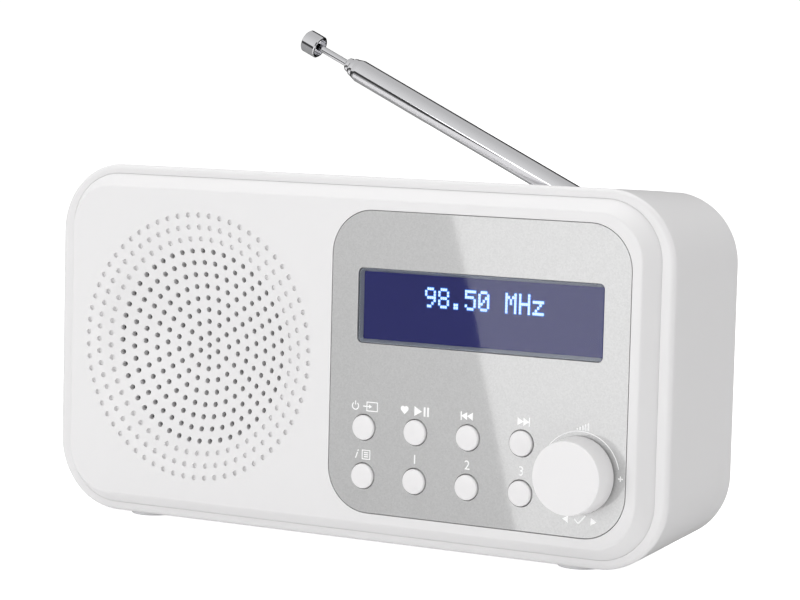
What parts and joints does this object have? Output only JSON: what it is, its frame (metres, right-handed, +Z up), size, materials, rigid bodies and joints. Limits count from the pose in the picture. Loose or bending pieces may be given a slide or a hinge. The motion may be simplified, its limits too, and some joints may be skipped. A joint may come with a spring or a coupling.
{
  "type": "tabletop radio",
  "caption": "Rounded tabletop radio with a dished dot grille, display, push buttons, a push-and-turn knob and a telescopic aerial on the back.",
  "frame": {"origin": "middle of the bounding box's footprint, on the surface that the feet stand on", "axes": "+X to the right as seen from the front, +Y from the front to the back, +Z up; the front faces -Y"},
  "size_m": [0.19, 0.059, 0.1375],
  "materials": {
    "case_white": "satin white moulded plastic",
    "front_white": "satin white moulded plastic",
    "panel_silver": "silver lacquer under a clear gloss coat",
    "bezel_grey": "grey gloss",
    "display_lens": "clear window",
    "display_blue": "dark blue liquid crystal cell",
    "light_guide": "milky light guide",
    "button_white": "satin white",
    "circuit_board": "green solder mask",
    "black_plastic": "matt black",
    "steel": "plated",
    "speaker_steel": "black enamel",
    "cone_paper": "coated paper",
    "ferrite": "ferrite and plated steel",
    "rubber_black": "soft rubber",
    "rubber_white": "soft white rubber",
    "cell_jacket": "printed jacket, no marks",
    "aerial_chrome": "bright chrome plate",
    "lead_red": "insulated wire",
    "ribbon_grey": "flat flexible cable"
  },
  "bodies": {
    "cabinet": {"case_shell": "case_white", "front_fascia": "front_white", "rear_cover": "case_white", "control_panel": "panel_silver", "display_bezel": "bezel_grey", "display_lens": "display_lens", "display_glass": "display_blue", "display_backlight": "light_guide", "display_board": "circuit_board", "button_board": "circuit_board", "button_switches": "black_plastic", "encoder_body": "steel", "speaker_gasket": "rubber_black", "speaker_frame": "speaker_steel", "speaker_magnet": "ferrite", "speaker_screws": "steel", "main_board": "circuit_board", "tuner_can": "steel", "amplifier_chip": "black_plastic", "capacitors": "black_plastic", "io_board": "circuit_board", "headphone_jack": "black_plastic", "usb_socket": "steel", "battery_tray": "case_white", "battery_springs": "steel", "battery_plates": "steel", "battery_cells": "cell_jacket", "rubber_feet": "rubber_white", "case_screws": "steel", "board_screws": "steel", "speaker_lead": "lead_red", "ribbon_cable": "ribbon_grey"},
    "power_button": {"power_button": "button_white"},
    "play_button": {"play_button": "button_white"},
    "previous_button": {"previous_button": "button_white"},
    "next_button": {"next_button": "button_white"},
    "info_button": {"info_button": "button_white"},
    "preset_1_button": {"preset_1_button": "button_white"},
    "preset_2_button": {"preset_2_button": "button_white"},
    "preset_3_button": {"preset_3_button": "button_white"},
    "encoder_push": {"encoder_slider": "black_plastic"},
    "tuning_knob": {"knob": "button_white", "encoder_shaft": "steel"},
    "cone": {"speaker_cone": "cone_paper", "speaker_dust_cap": "cone_paper"},
    "door": {"battery_door": "case_white"},
    "aerial_turret": {"aerial_base": "aerial_chrome", "aerial_washer": "steel", "aerial_screw": "steel", "aerial_pin": "steel"},
    "mast": {"aerial_root": "aerial_chrome", "aerial_mast": "aerial_chrome"},
    "middle_tube": {"aerial_middle": "aerial_chrome"},
    "inner_tube": {"aerial_inner": "aerial_chrome"},
    "thin_rod": {"aerial_rod": "aerial_chrome", "aerial_tip": "aerial_chrome"}
  },
  "joints": [
    {"name": "power_press", "type": "slide", "parent": "cabinet", "child": "power_button", "axis": [0, 1, 0], "range_m": [0, 0.0005], "stiffness_N_per_m": 600, "springref_m": -0.0006},
    {"name": "play_press", "type": "slide", "parent": "cabinet", "child": "play_button", "axis": [0, 1, 0], "range_m": [0, 0.0005], "stiffness_N_per_m": 600, "springref_m": -0.0006},
    {"name": "previous_press", "type": "slide", "parent": "cabinet", "child": "previous_button", "axis": [0, 1, 0], "range_m": [0, 0.0005], "stiffness_N_per_m": 600, "springref_m": -0.0006},
    {"name": "next_press", "type": "slide", "parent": "cabinet", "child": "next_button", "axis": [0, 1, 0], "range_m": [0, 0.0005], "stiffness_N_per_m": 600, "springref_m": -0.0006},
    {"name": "info_press", "type": "slide", "parent": "cabinet", "child": "info_button", "axis": [0, 1, 0], "range_m": [0, 0.0005], "stiffness_N_per_m": 600, "springref_m": -0.0006},
    {"name": "preset_1_press", "type": "slide", "parent": "cabinet", "child": "preset_1_button", "axis": [0, 1, 0], "range_m": [0, 0.0005], "stiffness_N_per_m": 600, "springref_m": -0.0006},
    {"name": "preset_2_press", "type": "slide", "parent": "cabinet", "child": "preset_2_button", "axis": [0, 1, 0], "range_m": [0, 0.0005], "stiffness_N_per_m": 600, "springref_m": -0.0006},
    {"name": "preset_3_press", "type": "slide", "parent": "cabinet", "child": "preset_3_button", "axis": [0, 1, 0], "range_m": [0, 0.0005], "stiffness_N_per_m": 600, "springref_m": -0.0006},
    {"name": "knob_press", "type": "slide", "parent": "cabinet", "child": "encoder_push", "axis": [0, 1, 0], "range_m": [0, 0.0005], "stiffness_N_per_m": 800, "springref_m": -0.0008},
    {"name": "knob_turn", "type": "hinge", "parent": "encoder_push", "child": "tuning_knob", "pos_m": [0.0723, -0.02145, 0.0258], "axis": [0, -1, 0], "continuous": true},
    {"name": "cone_travel", "type": "slide", "parent": "cabinet", "child": "cone", "axis": [0, -1, 0], "range_m": [-0.0006, 0.0006], "stiffness_N_per_m": 900},
    {"name": "door_open", "type": "hinge", "parent": "cabinet", "child": "door", "pos_m": [0.02, 0.02735, 0.0115], "axis": [-1, 0, 0], "range_deg": [0, 95]},
    {"name": "aerial_swivel", "type": "hinge", "parent": "cabinet", "child": "aerial_turret", "pos_m": [0.068, 0.02455, 0.0834], "axis": [0, 1, 0], "range_deg": [-25.3, 75]},
    {"name": "aerial_tilt", "type": "hinge", "parent": "aerial_turret", "child": "mast", "pos_m": [0.068, 0.02455, 0.0834], "axis": [-0.4274, 0, -0.9041], "range_deg": [0, 90]},
    {"name": "middle_slide", "type": "slide", "parent": "mast", "child": "middle_tube", "axis": [-0.9041, 0, 0.4274], "range_m": [0, 0.07]},
    {"name": "inner_slide", "type": "slide", "parent": "middle_tube", "child": "inner_tube", "axis": [-0.9041, 0, 0.4274], "range_m": [0, 0.07]},
    {"name": "rod_slide", "type": "slide", "parent": "inner_tube", "child": "thin_rod", "axis": [-0.9041, 0, 0.4274], "range_m": [-0.0095, 0.062]}
  ]
}
